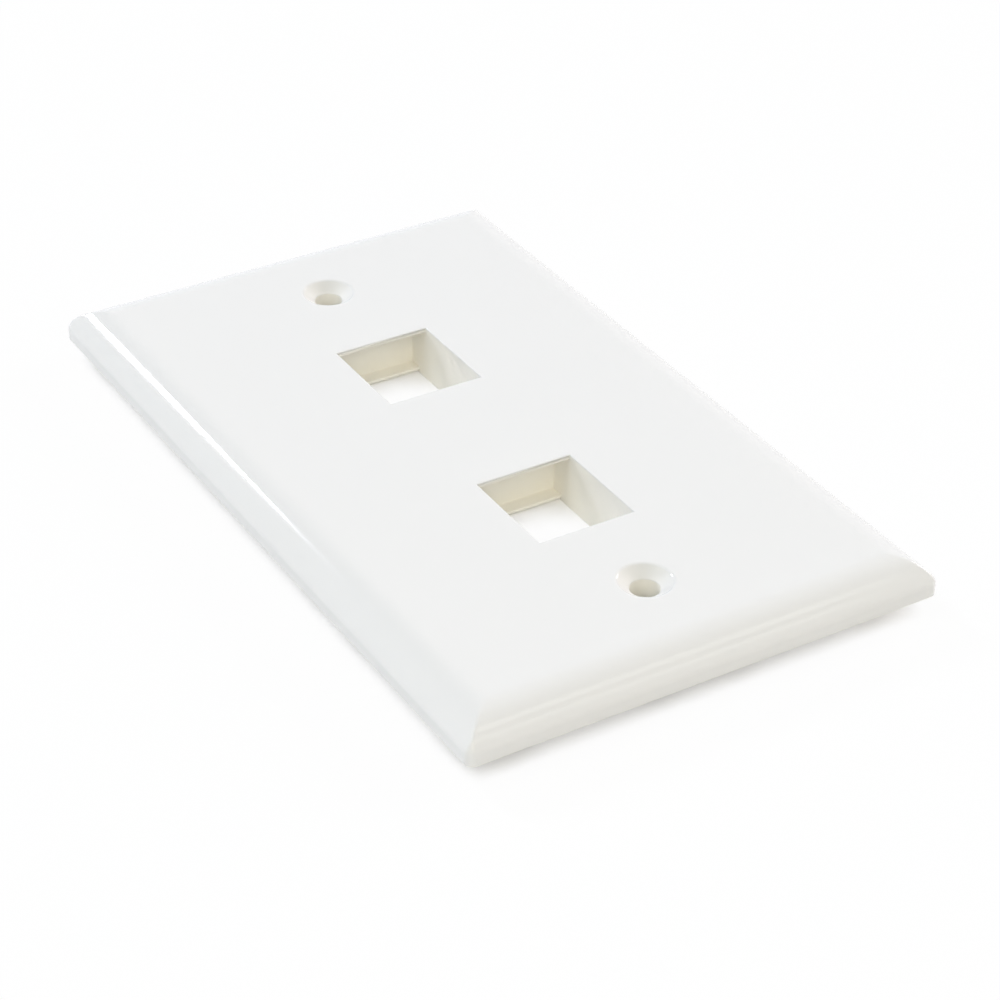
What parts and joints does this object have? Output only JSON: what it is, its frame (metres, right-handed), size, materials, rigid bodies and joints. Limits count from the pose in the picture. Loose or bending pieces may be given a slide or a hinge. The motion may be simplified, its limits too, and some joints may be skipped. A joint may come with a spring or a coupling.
{
  "type": "keystone faceplate",
  "caption": "Wall plate with a bevelled edge, countersunk screw holes and snap-in receptacles for keystone jacks.",
  "frame": {"origin": "middle of the wall plane, midway between the two screw holes", "axes": "+Z out of the wall through the front face, +Y along the plate towards the latch side of the ports, +X across it"},
  "size_m": [0.0698, 0.1142, 0.0082],
  "materials": {
    "white_plastic": "smooth moulded white, semi-gloss"
  },
  "bodies": {
    "root": {"faceplate": "white_plastic"}
  },
  "joints": []
}
